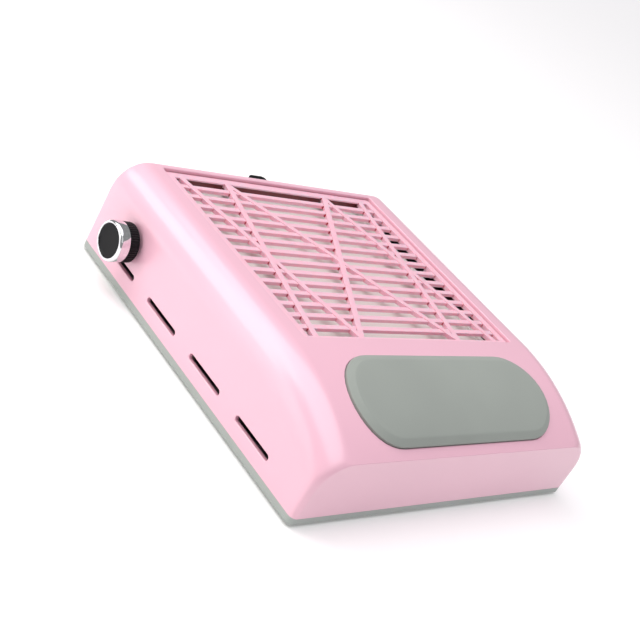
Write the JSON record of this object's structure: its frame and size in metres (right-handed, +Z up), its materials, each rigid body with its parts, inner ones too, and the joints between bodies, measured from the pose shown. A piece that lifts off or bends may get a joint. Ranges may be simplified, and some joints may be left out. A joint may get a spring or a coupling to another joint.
{
  "type": "nail dust collector",
  "caption": "Square desk-top nail dust collector: louvred suction grille, sloped palm pad, side speed knob, pull-out filter and centrifugal fan inside.",
  "frame": {"origin": "on the table (the undersides of the feet), under the middle of the bounding box, which the knob and the pull tab set off the middle of the square body by 8.1 mm in X and 6.95 mm in Y", "axes": "+Z up, +Y towards the rear wall with the filter slot, +X towards the user's right; the speed knob is on the -X wall"},
  "size_m": [0.2562, 0.2538, 0.066],
  "materials": {
    "pink_gloss": "gloss moulded pink ABS",
    "pink_satin": "semi-gloss moulded pink ABS",
    "grey_tray": "fine-textured grey ABS",
    "silicone_pad": "matt grey silicone",
    "foot_rubber": "matt black rubber",
    "plated_screw": "zinc plated",
    "black_tray": "matt black ABS",
    "guard_steel": "nickel-plated stamped steel",
    "seal_foam": "black foam strip",
    "white_frame": "white ABS",
    "filter_paper": "pleated filter paper",
    "black_pull": "satin black ABS",
    "bracket_steel": "stamped zinc-plated steel",
    "motor_steel": "drawn steel can, clear coat",
    "shaft_steel": "ground steel",
    "impeller_plastic": "black glass-filled nylon",
    "board_green": "green solder mask on glass-fibre board",
    "capacitor_sleeve": "shrink sleeve over aluminium can",
    "coil_copper": "enamelled copper winding",
    "connector_white": "natural nylon",
    "sink_aluminium": "plain extruded",
    "knob_black": "satin black ABS",
    "knob_chrome": "bright chrome plating",
    "jack_brass": "nickel-flashed brass",
    "lead_black": "PVC insulation"
  },
  "bodies": {
    "housing": {"upper_shell": "pink_gloss", "base_tray": "grey_tray", "grille_panel": "pink_satin", "palm_pad": "silicone_pad", "rubber_feet": "foot_rubber", "base_screws": "plated_screw", "inner_tray": "black_tray", "tray_screws": "plated_screw", "fan_guard": "guard_steel", "guard_screws": "plated_screw", "filter_seal": "seal_foam", "motor_bracket": "bracket_steel", "motor_grommets": "foot_rubber", "motor_screws": "plated_screw", "motor_can": "motor_steel", "motor_cap": "motor_steel", "control_board": "board_green", "board_screws": "plated_screw", "board_capacitors": "capacitor_sleeve", "board_coil": "coil_copper", "board_connectors": "connector_white", "heat_sink": "sink_aluminium", "power_transistor": "black_pull", "potentiometer_body": "bracket_steel", "potentiometer_washer": "plated_screw", "potentiometer_nut": "plated_screw", "dc_jack_body": "black_pull", "dc_jack_pin": "jack_brass", "dc_jack_nut": "jack_brass", "inlet_lead": "lead_black", "potentiometer_lead": "lead_black", "motor_lead": "lead_black", "lead_clips": "connector_white"},
    "filter_drawer": {"filter_frame": "white_frame", "filter_media": "filter_paper", "filter_pull": "black_pull"},
    "fan_rotor": {"impeller": "impeller_plastic", "impeller_nut": "plated_screw", "motor_shaft": "shaft_steel"},
    "speed_knob": {"knob_skirt": "knob_black", "knob_ring": "knob_chrome", "knob_cap": "knob_black", "potentiometer_shaft": "shaft_steel"}
  },
  "joints": [
    {"name": "filter_slide", "type": "slide", "parent": "housing", "child": "filter_drawer", "axis": [0, 1, 0], "range_m": [0, 0.15]},
    {"name": "fan_spin", "type": "hinge", "parent": "housing", "child": "fan_rotor", "pos_m": [0.0081, 0.02665, 0.03], "axis": [0, 0, 1], "continuous": true},
    {"name": "knob_turn", "type": "hinge", "parent": "housing", "child": "speed_knob", "pos_m": [-0.1169, 0.07255, 0.032], "axis": [1, 0, 0], "range_deg": [0, 280]}
  ]
}
